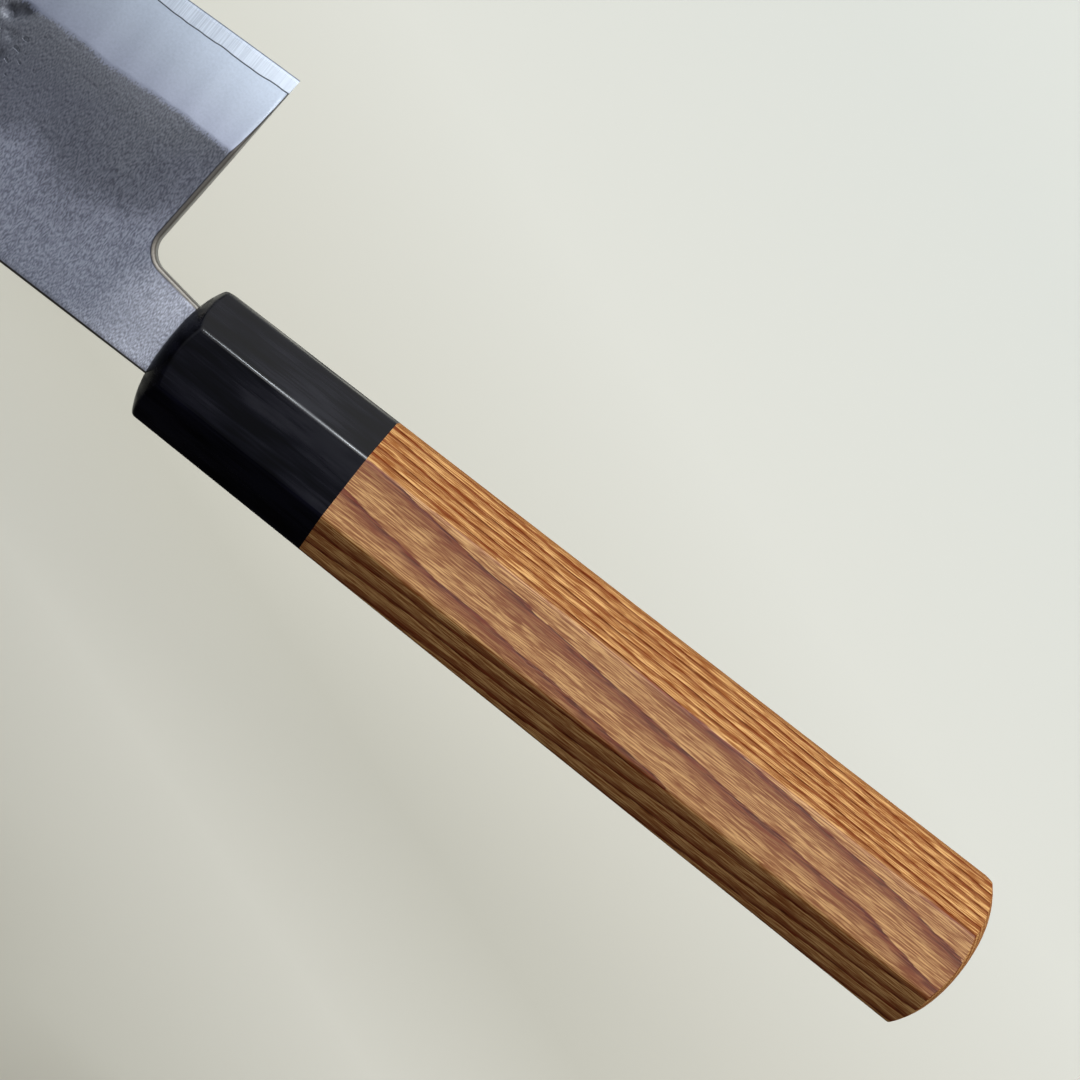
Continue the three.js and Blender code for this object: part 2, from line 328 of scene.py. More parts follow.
def crown_end(bm, loop, end):
    """Domes the front (end 0) or the butt (end 1). The dome cuts the facets in shallow arcs."""
    inwards = 2 * end - 1

    def dome_x(co):
        away = math.hypot(co.y - CROWN_SHIFT[end], CROWN_ACROSS[end] * co.z)
        return CROWN_X[end] + inwards * CROWN_RISE[end] * (away / (HEIGHT[end] / 2)) ** CROWN_POWER

    for vert in {v for e in loop for v in e.verts}:
        x = dome_x(vert.co)
        grow = handle_size(THICKNESS, x) / handle_size(THICKNESS, vert.co.x)
        vert.co = (x, vert.co.y * grow, vert.co.z * grow)
    rim = list(loop)
    last = 1
    for share in DOME_RINGS:
        def towards_axis(co, ratio=share / last):
            inner = Vector((co.x, co.y * ratio, co.z * ratio))
            inner.x = dome_x(inner)
            return inner
        loop = extrude_loop(bm, loop, towards_axis)
        last = share
    bmesh.ops.edgeloop_fill(bm, edges=loop)
    bmesh.ops.bevel(
        bm, geom=rim, offset=RIM_EASE[end], segments=EASE_STEPS, profile=0.5, affect="EDGES", material=-1
    )


def bore_from(bm, loop, start_x, end_x):
    """Steps in from a loop to the round bore and runs the bore along the axis."""
    def to_circle(co):
        reach = BORE_RADIUS / math.hypot(co.y, co.z)
        return Vector((start_x, co.y * reach, co.z * reach))

    circle = extrude_loop(bm, loop, to_circle)
    return extrude_loop(bm, circle, lambda co: Vector((end_x, co.y, co.z)))


def cut_mouth(bm):
    """Opens the slot in the crowned front that the neck of the blade goes into."""
    top = spine_y(0) + MOUTH_CLEARANCE
    bottom = neck_y(0) - MOUTH_CLEARANCE
    side = blade_half(0, 0) + MOUTH_CLEARANCE
    front_x = -0.5 * MM
    for place, normal in (
        ((0, top, 0), (0, 1, 0)),
        ((0, bottom, 0), (0, 1, 0)),
        ((0, 0, side), (0, 0, 1)),
        ((0, 0, -side), (0, 0, 1)),
    ):
        front = [f for f in bm.faces if f.calc_center_median().x > front_x]
        cut_faces(bm, front, place, normal, snap=1e-7)
    opening = []
    for face in bm.faces:
        centre = face.calc_center_median()
        if centre.x > front_x and bottom < centre.y < top and abs(centre.z) < side:
            opening.append(face)
    bmesh.ops.delete(bm, geom=opening, context="FACES")
    lip = [e for e in bm.edges if e.is_boundary and e.verts[0].co.x > front_x]
    extrude_loop(bm, lip, lambda co: Vector((-MOUTH_DEPTH, co.y, co.z)))


def ferrule(material):
    bm = bmesh.new()
    octagonal_tube(bm, 0, -FERRULE_LENGTH)
    crown_end(bm, end_loop(bm, 0), 0)
    cut_mouth(bm)
    back = end_loop(bm, -FERRULE_LENGTH)
    mouth = end_loop(bm, -MOUTH_DEPTH)
    bore = bore_from(bm, mouth, -MOUTH_DEPTH, -FERRULE_LENGTH)
    bmesh.ops.bridge_loops(bm, edges=back + bore)
    finish_piece(bm, "black_ferrule", material, node="ferrule", sharp_angle=30)


def handle_body(material):
    bm = bmesh.new()
    octagonal_tube(bm, -FERRULE_LENGTH, -HANDLE_LENGTH)
    crown_end(bm, end_loop(bm, -HANDLE_LENGTH), 1)
    bore_end = bore_from(bm, end_loop(bm, -FERRULE_LENGTH), -FERRULE_LENGTH, BORE_END)
    bmesh.ops.edgeloop_fill(bm, edges=bore_end)
    finish_piece(bm, "handle_wood_body", material, node="handle_body", sharp_angle=30)


# Blade

def cut_along(bm, place, normal, max_x=TIP_X, clear=False):
    """Cuts a flat sheet along a line, as far as max_x."""
    faces = [f for f in bm.faces if f.calc_center_median().x < max_x]
    cut_faces(bm, faces, (*place, 0), (*normal, 0), snap=1e-8, clear=clear)


def blade_sheet(bm, rows):
    """Flat sheet in the blade's outline. Its rows run along the blade where rows(x) says."""
    columns = round((TIP_X - SHOULDER_X) / COLUMN)
    count = len(rows(0)) - 1
    bmesh.ops.create_grid(bm, x_segments=columns, y_segments=count, size=0.5)
    for vert in bm.verts:
        x = blend((SHOULDER_X, TIP_X), vert.co.x + 0.5)
        row = round((vert.co.y + 0.5) * count)
        vert.co = (x, rows(x)[row], 0)
    cut_along(bm, CLIP_TOP, CLIP_NORMAL, clear=True)
    for inset in SOFT_STEPS:
        cut_along(bm, CLIP_TOP - CLIP_NORMAL * inset, CLIP_NORMAL)
    past_choil = CORNER_X + 3 * MM
    for inset in (0, *SOFT_STEPS):
        for line in CHOIL_LINES:
            cut_along(bm, CHOIL_CENTRE + line * (CHOIL_RADIUS + inset), line, past_choil)
    removed = []
    for face in bm.faces:
        centre = face.calc_center_median()
        if behind_heel(centre.x, centre.y) < 0:
            removed.append(face)
    bmesh.ops.delete(bm, geom=removed, context="FACES")


def grow_tang(bm):
    """Runs the sheet back from the neck as the tang that the handle hides."""
    def edges_behind(edges, x):
        return [e for e in edges if e.is_boundary and max(v.co.x for v in e.verts) < x]

    def station(x, tall):
        return lambda co: Vector((x, middle + (co.y - middle) * tall, 0))

    neck_end = edges_behind(bm.edges, SHOULDER_X + 1e-6)
    ys = [v.co.y for e in neck_end for v in e.verts]
    middle = (max(ys) + min(ys)) / 2
    height = max(ys) - min(ys)
    tang = extrude_loop(bm, neck_end, station(SHOULDER_X - TANG_STEP, TANG_HEIGHT / height))
    tang = edges_behind(tang, SHOULDER_X - TANG_STEP / 2)
    extrude_loop(bm, tang, station(TANG_END_X, TANG_END_HEIGHT / TANG_HEIGHT))


def thicken(bm):
    """Gives the flat sheet a second face and returns the vertices of that face."""
    grown = bmesh.ops.extrude_face_region(bm, geom=bm.faces[:])["geom"]
    return {g for g in grown if isinstance(g, bmesh.types.BMVert)}


def soft_edge(distance):
    """How far a surface drops beside an outline edge that is softened to a small round."""
    inside = min(max(distance, 0), SOFT_RADIUS)
    return SOFT_RADIUS - math.sqrt(SOFT_RADIUS ** 2 - (SOFT_RADIUS - inside) ** 2)


def from_outline(x, y):
    """Distance from the blade's outline, apart from its cutting edge. Above the bevel the heel and the
    choil, where the fingers go, count half, so they are rounded twice as wide."""
    softness = 1 + smooth_step(y - bevel_y(x), *GRIP_SOFTENS)
    return min(spine_y(x) - y, below_clip(x, y), behind_heel(x, y) / softness)


def uneven(x, y, height, length_x, length_y, seed):
    """Smooth random value at one place on the blade's side."""
    return height * noise.noise(Vector((x / length_x, y / length_y, seed)))


def random_dent(dice):
    """Place, radius and depth of one forging dent."""
    x = DENTS_FROM_X + DENTS_SPREAD_X * dice.random() ** DENTS_CROWDING
    y = dice.gauss(DENTS_MIDDLE_Y, DENTS_SPREAD_Y)
    radius = blend(DENT_RADIUS, dice.random() ** 2)
    return x, y, radius, dice.uniform(*DENT_DEPTH)


dent_dice = random.Random(DENT_SEED)
DENTS = [random_dent(dent_dice) for _ in range(DENT_COUNT)]


def dent_depth(x, y):
    """Depth of the forging dents at one place. A noise makes their rims uneven."""
    depths = [0.0]
    stretch = 1 + uneven(x, y, *DENT_RIM_WAVE)
    for dent_x, dent_y, radius, depth in DENTS:
        apart = stretch * math.hypot(x - dent_x, y - dent_y) / radius
        if apart < 1:
            depths.append(depth * (1 - apart ** 2) ** 2)
    return max(depths)


def side_surface(x, y):
    """Height of the blade's finished side over the middle of the core."""
    if x < SHOULDER_X:
        return tang_half(x)
    level, core_level = ground_half(x, y), core_half(x)
    flat = smooth_step(y - bevel_y(x), *FLAT_BEGINS)
    drop = soft_edge(from_outline(x, y)) + flat * dent_depth(x, y)
    drop = min(drop, DEEPEST_SHARE * (level - core_level))
    wave = sum(uneven(x, y, *forged) for forged in FORGED_WAVES)
    return max(level - drop + flat * wave, core_level)


def cladding_rows(x):
    low, middle, top = core_line_y(x), bevel_y(x), spine_y(x)
    ground = [blend((low, middle), i / BEVEL_ROWS) for i in range(BEVEL_ROWS)]
    flat = [blend((middle, top - SOFT_RADIUS), i / FLAT_ROWS) for i in range(FLAT_ROWS + 1)]
    return ground + flat + [top - SOFT_STEPS[1], top - SOFT_STEPS[0], top]


def cladding(name, node, side, material):
    """One soft side of the blade, from the core out to its forged flat and its wide ground bevel."""
    bm = bmesh.new()
    above = bm.verts.layers.float.new("above_bevel")
    inside = bm.verts.layers.float.new("from_outline")
    dented = bm.verts.layers.float.new("dent_depth")
    blade_sheet(bm, cladding_rows)
    grow_tang(bm)
    outer = thicken(bm)
    for vert in bm.verts:
        x, y, _ = vert.co
        vert[above] = (y - bevel_y(x)) / MM
        vert[inside] = from_outline(x, y) / MM
        vert[dented] = dent_depth(x, y) / MM
        level = side_surface(x, y) if vert in outer else core_half(max(x, SHOULDER_X))
        vert.co.z = side * level
    finish_piece(bm, name, material, node, sharp_angle=35)


def core_rows(x):
    low, line, top = edge_y(x), core_line_y(x), spine_y(x)
    ground = [blend((low + SHARPENED_HEIGHT, line), i / CORE_EDGE_ROWS) for i in range(CORE_EDGE_ROWS)]
    flat = [blend((line, top), i / CORE_FLAT_ROWS) for i in range(CORE_FLAT_ROWS + 1)]
    return [low, low + SHARPENED_HEIGHT / 2] + ground + flat


def core(material):
    """The hard middle layer, which carries the cutting edge and runs back as the tang."""
    bm = bmesh.new()
    above = bm.verts.layers.float.new("above_edge")
    below = bm.verts.layers.float.new("below_line")
    blade_sheet(bm, core_rows)
    grow_tang(bm)
    left = thicken(bm)
    for vert in bm.verts:
        x, y, _ = vert.co
        vert[above] = (y - edge_y(x)) / MM
        vert[below] = (core_line_y(x) - y) / MM
        level = core_half(max(x, SHOULDER_X))
        if x >= SHOULDER_X and y < core_line_y(x):
            level = ground_half(x, y)
        vert.co.z = level if vert in left else -level
    finish_piece(bm, "core_blade", material, node="core_steel", sharp_angle=4)


# Materials

# The side that the light comes from, which the card, the room and the ferrule's shine follow
LIGHT_SIDE = Vector((-0.3, -0.95, 0)).normalized()

# Growth rings in the handle: their spacing in millimetres, and the direction in which they are stacked
RING_PITCH = 1.35
RING_NORMAL = Vector((0.032, 0.275, 0.96)) / RING_PITCH


def tone(code):
    """Linear colour of an sRGB hex value."""
    parts = [int(code[i:i + 2], 16) / 255 for i in (1, 3, 5)]
    linear = [p / 12.92 if p <= 0.04045 else ((p + 0.055) / 1.055) ** 2.4 for p in parts]
    return (*linear, 1)


def grey(level):
    return (level, level, level, 1)


def add(tree, kind, inputs, out=0, ramp=None, **settings):
    """Adds a node and gives one of its outputs. An input is a value or another node's output. Where a
    node has sockets of one name, they go by number: in a colour mix 0 is the factor, 6 and 7 are the
    two colours, and 2 is the result."""
    made = tree.nodes.new(kind)
    for name, value in settings.items():
        setattr(made, name, value)
    for name, value in inputs.items():
        if isinstance(value, bpy.types.NodeSocket):
            tree.links.new(value, made.inputs[name])
        else:
            made.inputs[name].default_value = value
    if ramp:
        stops = made.color_ramp.elements
        stops.remove(stops[1])
        for index, (place, colour) in enumerate(ramp):
            stop = stops.new(place) if index else stops[0]
            stop.position = place
            stop.color = colour if isinstance(colour, tuple) else tone(colour)
    return made.outputs[out] if made.outputs else None


def new_material(name):
    material = bpy.data.materials.new(name)
    material.use_nodes = True
    material.node_tree.nodes.clear()
    return material, material.node_tree


def knife_mm(tree):
    """Place on the piece in millimetres along the knife's own axes."""
    where = add(tree, "ShaderNodeTexCoord", {}, "Object")
    return add(tree, "ShaderNodeMapping", {
        "Vector": where, "Location": ORIGIN / -MM, "Scale": [1 / MM] * 3,
    })


def grain(tree, place, size, detail=2):
    """Soft random pattern whose marks are about half of size, in millimetres along each axis."""
    scaled = add(tree, "ShaderNodeMapping", {"Vector": place, "Scale": [1 / s for s in size]})
    return add(tree, "ShaderNodeTexNoise", {
        "Vector": scaled, "Scale": 1, "Detail": detail, "Roughness": 0.55,
    })


def towards_light(tree, vector):
    """How far a place or a direction lies to the side of the light."""
    return add(tree, "ShaderNodeVectorMath", {0: vector, 1: LIGHT_SIDE}, "Value", operation="DOT_PRODUCT")


def sideways(tree, facing):
    """How squarely a facet looks to the left or the right of the knife, from 0 to 1."""
    across = add(tree, "ShaderNodeSeparateXYZ", {"Vector": facing}, "Z")
    return add(tree, "ShaderNodeMath", {0: across}, operation="ABSOLUTE")


def shaded(material, tree, settings, bump=None, depth=0.0):
    """Ends a material in one surface shader. depth is the bump's height in millimetres."""
    if bump is not None:
        settings["Normal"] = add(tree, "ShaderNodeBump", {
            "Height": bump, "Distance": depth * MM, "Strength": 1.0,
        })
    surface = add(tree, "ShaderNodeBsdfPrincipled", settings)
    add(tree, "ShaderNodeOutputMaterial", {"Surface": surface})
    return material


def growth_rings(tree, place):
    """Runs from 0 to 1 through each growth ring, from its early wood to its late wood."""
    across = add(tree, "ShaderNodeVectorMath", {0: place, 1: RING_NORMAL}, "Value", operation="DOT_PRODUCT")
    bend = add(tree, "ShaderNodeMapRange", {
        "Value": grain(tree, place, (45, 14, 14), 1), "To Min": -0.45, "To Max": 0.45,
    })
    curl = add(tree, "ShaderNodeMapRange", {
        "Value": grain(tree, place, (13, 1.6, 1.6), 2), "To Min": -0.18, "To Max": 0.18,
    })
    rings = add(tree, "ShaderNodeMath", {0: across, 1: bend}, operation="ADD")
    rings = add(tree, "ShaderNodeMath", {0: rings, 1: curl}, operation="ADD")
    return add(tree, "ShaderNodeMath", {0: rings}, operation="FRACT")


def oiled_zelkova():
    """Ring-porous hardwood, sanded and oiled: golden wood between growth rings that start with a dark
    red-brown line of pores and fade out, with fine pale fibres along the handle and a satin shine, which
    is a painted sheen, made stronger on the broad facets that face the sides of the knife."""
    material, tree = new_material("oiled_zelkova")
    place = knife_mm(tree)
    growth = growth_rings(tree, place)
    colour = add(tree, "ShaderNodeValToRGB", {"Fac": growth}, ramp=[
        (0.0, "#5c190a"), (0.05, "#672812"), (0.14, "#743b21"), (0.32, "#7a4727"), (0.5, "#86542e"),
        (0.96, "#8d5a32"), (1.0, "#5c190a"),
    ])
    late = add(tree, "ShaderNodeMapRange", {
        "Value": growth, "From Min": 0.14, "From Max": 0.5, "To Min": 0.22, "To Max": 1.0,
    })
    strands = grain(tree, place, (5, 0.25, 0.25), 1)
    strands = add(tree, "ShaderNodeMath", {0: strands, 1: 0.35}, operation="MULTIPLY")
    fibres = grain(tree, place, (2.6, 0.1, 0.1), 1)
    fibres = add(tree, "ShaderNodeMath", {0: fibres, 1: 0.65, 2: strands}, operation="MULTIPLY_ADD")
    pale = add(tree, "ShaderNodeMapRange", {
        "Value": fibres, "From Min": 0.5, "From Max": 0.6, "To Max": 0.45,
    }, interpolation_type="SMOOTHSTEP")
    lines = add(tree, "ShaderNodeMapRange", {
        "Value": grain(tree, place, (5, 0.15, 0.15), 0),
        "From Min": 0.54, "From Max": 0.62, "To Max": 0.75,
    }, interpolation_type="SMOOTHSTEP")
    pale = add(tree, "ShaderNodeMath", {0: pale, 1: lines}, operation="MAXIMUM")
    pale = add(tree, "ShaderNodeMath", {0: pale, 1: late}, operation="MULTIPLY")
    colour = add(tree, "ShaderNodeMix", {0: pale, 6: colour, 7: tone("#d2a66b")}, 2, data_type="RGBA")
    brown = add(tree, "ShaderNodeMapRange", {
        "Value": fibres, "From Min": 0.45, "From Max": 0.38, "To Max": 0.65,
    }, interpolation_type="SMOOTHSTEP")
    colour = add(tree, "ShaderNodeMix", {0: brown, 6: colour, 7: tone("#6b3213")}, 2, data_type="RGBA")
    early = add(tree, "ShaderNodeMapRange", {
        "Value": growth, "From Min": 0.3, "From Max": 0.0,
    }, interpolation_type="SMOOTHSTEP")
    dashes = add(tree, "ShaderNodeMapRange", {
        "Value": grain(tree, place, (3.4, 0.2, 0.2), 1),
        "From Min": 0.47, "From Max": 0.56, "To Max": 0.8,
    }, interpolation_type="SMOOTHSTEP")
    pores = add(tree, "ShaderNodeMath", {0: dashes, 1: early}, operation="MULTIPLY")
    colour = add(tree, "ShaderNodeMix", {0: pores, 6: colour, 7: tone("#401808")}, 2, data_type="RGBA")
    rough = add(tree, "ShaderNodeMapRange", {"Value": fibres, "To Min": 0.44, "To Max": 0.6})
    height = add(tree, "ShaderNodeMath", {0: pores, 1: -1.0, 2: fibres}, operation="MULTIPLY_ADD")
    facing = add(tree, "ShaderNodeTexCoord", {}, "Normal")
    # Painted sheen: the shine is made stronger on the facets that face the sides of the knife, by their
    # facing alone
    painted_shine = add(tree, "ShaderNodeMapRange", {
        "Value": sideways(tree, facing), "From Min": 0.88, "From Max": 0.985, "To Max": 0.75,
    })
    return shaded(material, tree, {
        "Base Color": colour, "Roughness": rough,
        "Specular IOR Level": painted_shine, "Specular Tint": tone("#ffe3dc"),
    }, height, 0.02)


def black_pakkawood():
    """Dyed, resin-filled wood, sanded fine: nearly black, with faint grey-blue fibres along the handle
    and a soft shine that is duller in the fibres. The shine is painted by facing: a painted highlight on
    the ridges, and painted shade where a facet faces away from the light."""
    material, tree = new_material("black_pakkawood")
    place = knife_mm(tree)
    fibres = grain(tree, place, (8, 0.4, 0.4), 3)
    patches = grain(tree, place, (16, 3.5, 3.5), 2)
    streaks = add(tree, "ShaderNodeMath", {0: fibres, 1: 0.4, 2: patches}, operation="MULTIPLY_ADD")
    colour = add(tree, "ShaderNodeValToRGB", {"Fac": streaks}, ramp=[(0.55, "#010102"), (0.82, "#090912")])
    rough = add(tree, "ShaderNodeMapRange", {
        "Value": streaks, "From Min": 0.6, "From Max": 0.86, "To Min": 0.12, "To Max": 0.46,
    })
    facing = add(tree, "ShaderNodeTexCoord", {}, "Normal")
    # Painted highlight and shade: the shine is set by which way a facet faces, and is strongest on the
    # ridges
    painted_shine = add(tree, "ShaderNodeValToRGB", {"Fac": sideways(tree, facing)}, ramp=[
        (0.0, grey(0.004)), (0.2, grey(0.022)), (0.35, grey(0.1)), (0.66, grey(0.31)),
        (0.75, grey(0.31)), (0.85, grey(0.7)), (0.93, grey(0.7)), (0.98, grey(0.3)),
    ])
    # Painted shade: the shine fades where a facet faces away from the light
    lit = add(tree, "ShaderNodeMapRange", {
        "Value": towards_light(tree, facing), "From Min": -0.16, "From Max": -0.01, "To Min": 0.12,
    })
    painted_shine = add(tree, "ShaderNodeMath", {0: painted_shine, 1: lit}, operation="MULTIPLY")
    return shaded(material, tree, {
        "Base Color": colour, "Roughness": rough, "Specular IOR Level": painted_shine,
    }, fibres, 0.002)


def forging_pits(tree, place, along):
    """Small pits in the forged flat, from some way in front of the heel."""
    forged = add(tree, "ShaderNodeMapRange", {"Value": along, "From Min": 34.0, "From Max": 50.0})
    pits = add(tree, "ShaderNodeMapRange", {
        "Value": grain(tree, place, (1.3, 1.1, 1.1), 1), "From Min": 0.67, "From Max": 0.71,
    }, interpolation_type="SMOOTHSTEP")
    return add(tree, "ShaderNodeMath", {0: pits, 1: forged}, operation="MULTIPLY")


def flat_colour(tree, place, along, above, strokes, pits):
    """Dark forged flat, paler in large clouds and towards the spine and the neck, with painted shade that
    makes it darkest in its pits and dents.
    """
    clouds = grain(tree, place, (26, 16, 16), 3)
    # Paler in large clouds, higher up the side and towards the neck
    paleness = add(tree, "ShaderNodeMath", {0: clouds, 1: 30.0, 2: above}, operation="MULTIPLY_ADD")
    neck = add(tree, "ShaderNodeMapRange", {
        "Value": along, "From Min": 22.0, "From Max": -3.0, "To Max": 22.0,
    }, interpolation_type="SMOOTHSTEP")
    paleness = add(tree, "ShaderNodeMath", {0: paleness, 1: neck}, operation="ADD")
    paleness = add(tree, "ShaderNodeMapRange", {"Value": paleness, "From Min": 12.0, "From Max": 60.0})
    colour = add(tree, "ShaderNodeValToRGB", {"Fac": paleness}, ramp=[
        (0.0, "#96999f"), (0.14, "#84878d"), (0.3, "#7e818a"), (0.42, "#858892"), (0.54, "#a9adba"),
        (0.7, "#b0b5c2"), (1.0, "#f0f4ff"),
    ])
    frost = add(tree, "ShaderNodeValToRGB", {"Fac": strokes}, ramp=[(0.34, "#b4b4b8"), (0.66, "#ffffff")])
    colour = add(tree, "ShaderNodeMix", {
        0: 1.0, 6: colour, 7: frost,
    }, 2, data_type="RGBA", blend_type="MULTIPLY")
    # Painted shade in the pits
    colour = add(tree, "ShaderNodeMix", {0: pits, 6: colour, 7: tone("#4a4c52")}, 2, data_type="RGBA")
    # Painted shade in the dents, darker where they are deeper
    dents = add(tree, "ShaderNodeAttribute", {}, "Fac", attribute_name="dent_depth")
    dents = add(tree, "ShaderNodeMapRange", {
        "Value": dents, "From Min": 0.04, "From Max": 0.24, "To Max": 0.75,
    }, interpolation_type="SMOOTHSTEP")
    return add(tree, "ShaderNodeMix", {0: dents, 6: colour, 7: tone("#4c4e55")}, 2, data_type="RGBA")


def bevel_colour(tree, place, along, up_bevel):
    """Pale ground bevel with an even haze, brightest along the core, and with a painted highlight that
    makes it brightest at the heel.
    """
    colour = add(tree, "ShaderNodeValToRGB", {"Fac": up_bevel}, ramp=[
        (0.0, "#c0cbd8"), (0.5, "#b6bfcc"), (1.0, "#aeb4c4"),
    ])
    haze = grain(tree, place, (0.34, 0.34, 0.34), 3)
    # Painted highlight: the haze is lightened towards the heel
    painted_heel_highlight = add(tree, "ShaderNodeMapRange", {
        "Value": along, "From Min": 45.0, "From Max": 8.0, "To Max": 0.5,
    })
    haze = add(tree, "ShaderNodeMath", {0: haze, 1: 0.7, 2: painted_heel_highlight}, operation="MULTIPLY_ADD")
    haze = add(tree, "ShaderNodeValToRGB", {"Fac": haze}, ramp=[(0.2, "#dededf"), (0.9, "#ffffff")])
    return add(tree, "ShaderNodeMix", {
        0: 1.0, 6: colour, 7: haze,
    }, 2, data_type="RGBA", blend_type="MULTIPLY")


def outline_colour(tree, colour, along, up_bevel):
    """Painted shade in a dark line where the side turns into the blade's narrow edges, and a dim tan on
    those edges, painted to stand for the card's reflection. On the bevel the two are thinner, and along
    the neck the line is fainter."""
    inside = add(tree, "ShaderNodeAttribute", {}, "Fac", attribute_name="from_outline")
    thin = add(tree, "ShaderNodeMapRange", {"Value": up_bevel, "To Min": 3.0, "To Max": 1.0})
    inside = add(tree, "ShaderNodeMath", {0: inside, 1: thin}, operation="MULTIPLY")
    clear = add(tree, "ShaderNodeMapRange", {
        "Value": along, "From Min": 2.0, "From Max": 11.0, "To Min": 0.5,
    })
    # Painted shade: a dark line along the rounded corner of the outline
    corner = add(tree, "ShaderNodeMapRange", {
        "Value": inside, "From Min": 0.38, "From Max": 0.32, "To Max": clear,
    })
    colour = add(tree, "ShaderNodeMix", {0: corner, 6: colour, 7: tone("#3a3a3e")}, 2, data_type="RGBA")
    # Painted reflection: the narrow edges take a dim tan
    narrow = add(tree, "ShaderNodeMapRange", {"Value": inside, "From Min": 0.3, "From Max": 0.24})
    return add(tree, "ShaderNodeMix", {0: narrow, 6: colour, 7: tone("#66625c")}, 2, data_type="RGBA")


def clad_steel():
    """Soft stainless cladding: a dark forged flat with fine frosty strokes across the blade, and a bevel
    that was ground bright and finished to an even, hazy satin. Flecks mark the line where they meet. The
    strokes are drawn coarser than real ones, so that they show in the render."""
    material, tree = new_material("clad_steel")
    place = knife_mm(tree)
    along = add(tree, "ShaderNodeSeparateXYZ", {"Vector": place}, "X")
    above = add(tree, "ShaderNodeAttribute", {}, "Fac", attribute_name="above_bevel")
    up_bevel = add(tree, "ShaderNodeMapRange", {"Value": above, "From Min": -10.5, "From Max": 0.0})
    flecks = grain(tree, place, (0.16, 0.5, 0.5), 2)
    border = add(tree, "ShaderNodeMath", {0: flecks, 1: 2.4, 2: above}, operation="MULTIPLY_ADD")
    flat = add(tree, "ShaderNodeMapRange", {
        "Value": border, "From Min": 1.1, "From Max": 1.5,
    }, interpolation_type="SMOOTHSTEP")
    strokes = grain(tree, place, (0.1, 0.46, 0.46), 0)
    pits = forging_pits(tree, place, along)
    dark = flat_colour(tree, place, along, above, strokes, pits)
    bright = bevel_colour(tree, place, along, up_bevel)
    colour = add(tree, "ShaderNodeMix", {0: flat, 6: bright, 7: dark}, 2, data_type="RGBA")
    colour = outline_colour(tree, colour, along, up_bevel)
    rough = add(tree, "ShaderNodeMapRange", {"Value": flat, "To Min": 0.28, "To Max": 0.42})
    height = add(tree, "ShaderNodeMath", {0: strokes, 1: 0.5}, operation="SUBTRACT")
    height = add(tree, "ShaderNodeMath", {0: pits, 1: -3.0, 2: height}, operation="MULTIPLY_ADD")
    height = add(tree, "ShaderNodeMath", {0: height, 1: flat}, operation="MULTIPLY")
    return shaded(material, tree, {
        "Base Color": colour, "Metallic": 1.0, "Roughness": rough,
    }, height, 0.012)


def hard_steel():
    """Hardened carbon steel core: a bright strip with sharpening lines across it, a painted highlight
    towards the heel, a dark seam where the cladding ends, and painted shade on the sharpened edge,
    darkest in a line at the very edge. The sharpening lines are drawn coarser than real ones, so that
    they show in the render."""
    material, tree = new_material("hard_steel")
    place = knife_mm(tree)
    lines = grain(tree, place, (0.13, 7, 7), 2)
    colour = add(tree, "ShaderNodeValToRGB", {"Fac": lines}, ramp=[(0.35, "#b2bbc6"), (0.65, "#cbd4de")])
    along = add(tree, "ShaderNodeSeparateXYZ", {"Vector": place}, "X")
    # Painted highlight: the strip is lightened towards the heel
    painted_heel_highlight = add(tree, "ShaderNodeMapRange", {
        "Value": along, "From Min": 22.0, "From Max": 9.0, "To Max": 0.4,
    })
    colour = add(tree, "ShaderNodeMix", {0: painted_heel_highlight, 6: colour, 7: tone("#dfe8f2")}, 2, data_type="RGBA")
    below = add(tree, "ShaderNodeAttribute", {}, "Fac", attribute_name="below_line")
    seam = add(tree, "ShaderNodeMapRange", {"Value": below, "From Min": 0.24, "From Max": 0.12})
    colour = add(tree, "ShaderNodeMix", {0: seam, 6: colour, 7: tone("#3c4048")}, 2, data_type="RGBA")
    above = add(tree, "ShaderNodeAttribute", {}, "Fac", attribute_name="above_edge")
    # Painted shade on the sharpened edge, darkest in a thin line at the very edge
    painted_edge_shade = add(tree, "ShaderNodeValToRGB", {"Fac": above}, ramp=[
        (0.1, "#6a6a70"), (0.18, "#c4c4c6"), (0.46, "#c4c4c6"), (0.54, "#ffffff"),
    ])
    colour = add(tree, "ShaderNodeMix", {
        0: 1.0, 6: colour, 7: painted_edge_shade,
    }, 2, data_type="RGBA", blend_type="MULTIPLY")
    return shaded(material, tree, {"Base Color": colour, "Metallic": 1.0, "Roughness": 0.3}, lines, 0.003)


def mottled(name, first, second, size, roughness):
    """Dull material with a faint grain between two near colours."""
    material, tree = new_material(name)
    marks = grain(tree, knife_mm(tree), size)
    colour = add(tree, "ShaderNodeValToRGB", {"Fac": marks}, ramp=[(0.35, first), (0.65, second)])
    return shaded(material, tree, {"Base Color": colour, "Roughness": roughness})


def pale_card():
    """Matt off-white card under the knife. Its colour falls off away from the light, as in the photo."""
    material, tree = new_material("pale_card")
    where = add(tree, "ShaderNodeTexCoord", {}, "Object")
    share = add(tree, "ShaderNodeMapRange", {
        "Value": towards_light(tree, where), "From Min": -0.12, "From Max": 0.12,
    })
    colour = add(tree, "ShaderNodeValToRGB", {"Fac": share}, ramp=[
        (0.0, "#c3c0b1"), (0.2, "#d9d6c8"), (0.34, "#cac7b8"), (0.45, "#d0cdbf"), (0.7, "#d9d8cd"),
        (1.0, "#d1d2c9"),
    ])
    return shaded(material, tree, {"Base Color": colour, "Roughness": 1.0, "Specular IOR Level": 0.0})


# Camera, floor and light

# Where the camera stood over the knife, the point it looked at, and the turn of the tip in the picture
CAMERA_AT = Vector((-50.4, -31.37, 417.54)) * MM
CAMERA_AIM = Vector((-56.31, -10.47, 0)) * MM
TIP_ANGLE = math.radians(141.75)

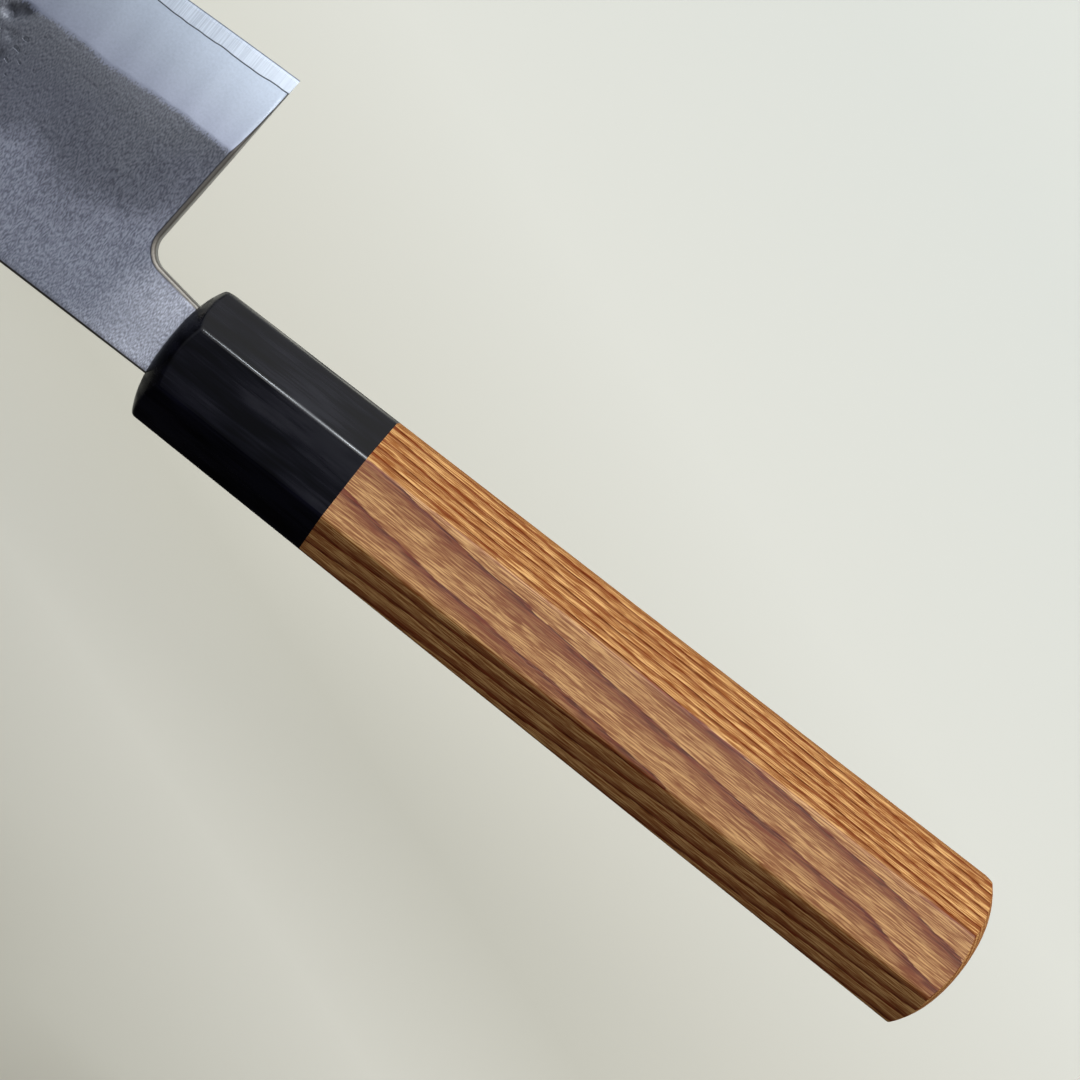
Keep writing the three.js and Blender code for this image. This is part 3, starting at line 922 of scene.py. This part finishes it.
# The card lies well under the knife, so the shadow on it is wide and soft
FLOOR_DROP = 140 * MM
FLOOR_HALF = 220 * MM

# Each lamp's name, place, direction, size in metres, power and colour
LAMPS = (
    ("panel", (-0.7, -1.13, 1.0), (0, 0, -1), (1.8, 1.74), 29, (1, 1, 1)),
    ("window", (0.0, -1.0, 1.0), (0, 1, -1), (0.6, 0.1), 7, (0.84, 0.92, 1)),
)


def photo_camera():
    data = bpy.data.cameras.new("camera")
    data.sensor_width = 36
    data.lens = 100
    data.clip_end = 20
    camera = bpy.data.objects.new("camera", data)
    back = (CAMERA_AT - CAMERA_AIM).normalized()
    to_tip = (Vector((1, 0, 0)) - back * back.x).normalized()
    right = to_tip * math.cos(TIP_ANGLE) - back.cross(to_tip) * math.sin(TIP_ANGLE)
    turn = Matrix((right, back.cross(right), back)).transposed().to_4x4()
    camera.matrix_world = Matrix.Translation(ORIGIN + CAMERA_AT) @ turn
    scene.collection.objects.link(camera)
    scene.camera = camera


def card_floor():
    bm = bmesh.new()
    bmesh.ops.create_grid(bm, x_segments=1, y_segments=1, size=FLOOR_HALF)
    bmesh.ops.translate(bm, verts=bm.verts, vec=(0, 0, -FLOOR_DROP))
    mesh = bpy.data.meshes.new("floor")
    bm.to_mesh(mesh)
    bm.free()
    mesh.materials.append(pale_card())
    floor = bpy.data.objects.new("floor", mesh)
    scene.collection.objects.link(floor)


def soft_lamp(name, place, aim, size, energy, colour):
    data = bpy.data.lights.new(name, "AREA")
    data.shape = "RECTANGLE"
    data.size, data.size_y = size
    data.energy = energy
    data.color = colour
    lamp = bpy.data.objects.new(name, data)
    lamp.location = place
    lamp.rotation_euler = Vector(aim).to_track_quat("-Z", "Y").to_euler()
    scene.collection.objects.link(lamp)


def room_light():
    """Dim room that is brighter on the side of the light. Past the card the camera sees the card's tone."""
    world = bpy.data.worlds.new("room")
    scene.world = world
    world.use_nodes = True
    tree = world.node_tree
    tree.nodes.clear()
    direction = add(tree, "ShaderNodeTexCoord", {}, "Generated")
    level = add(tree, "ShaderNodeMapRange", {"Value": towards_light(tree, direction), "From Min": -1.0})
    light = add(tree, "ShaderNodeValToRGB", {"Fac": level}, ramp=[
        (0.0, (0.08, 0.075, 0.07, 1)), (0.25, (0.17, 0.165, 0.16, 1)), (0.5, (0.23, 0.245, 0.3, 1)),
        (0.75, (0.7, 0.71, 0.73, 1)), (1.0, (0.85, 0.86, 0.88, 1)),
    ])
    room = add(tree, "ShaderNodeBackground", {"Color": light})
    seen = add(tree, "ShaderNodeBackground", {"Color": tone("#dddcd2")})
    camera_ray = add(tree, "ShaderNodeLightPath", {}, "Is Camera Ray")
    either = add(tree, "ShaderNodeMixShader", {0: camera_ray, 1: room, 2: seen})
    add(tree, "ShaderNodeOutputWorld", {"Surface": either})


# The knife

cladding_steel = clad_steel()
core(hard_steel())
cladding("left_blade_side", "left_cladding", 1, cladding_steel)
cladding("right_blade_side", "right_cladding", -1, cladding_steel)
ferrule(black_pakkawood())
handle_body(oiled_zelkova())

# The dowel and the resin that the handle hides keep their CAD shape
hidden = {
    "dowel": mottled("dowel_wood", "#c39e6a", "#d6b684", size=(14, 0.8, 0.8), roughness=0.6),
    "tang_bedding": mottled("bedding_resin", "#d3c8a4", "#ded6b8", size=(3, 3, 3), roughness=0.45),
}
for node, material in hidden.items():
    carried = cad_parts[node]
    carried.data.materials.clear()
    carried.data.materials.append(material)

photo_camera()
card_floor()
for lamp in LAMPS:
    soft_lamp(*lamp)
room_light()
scene.view_settings.view_transform = "Standard"
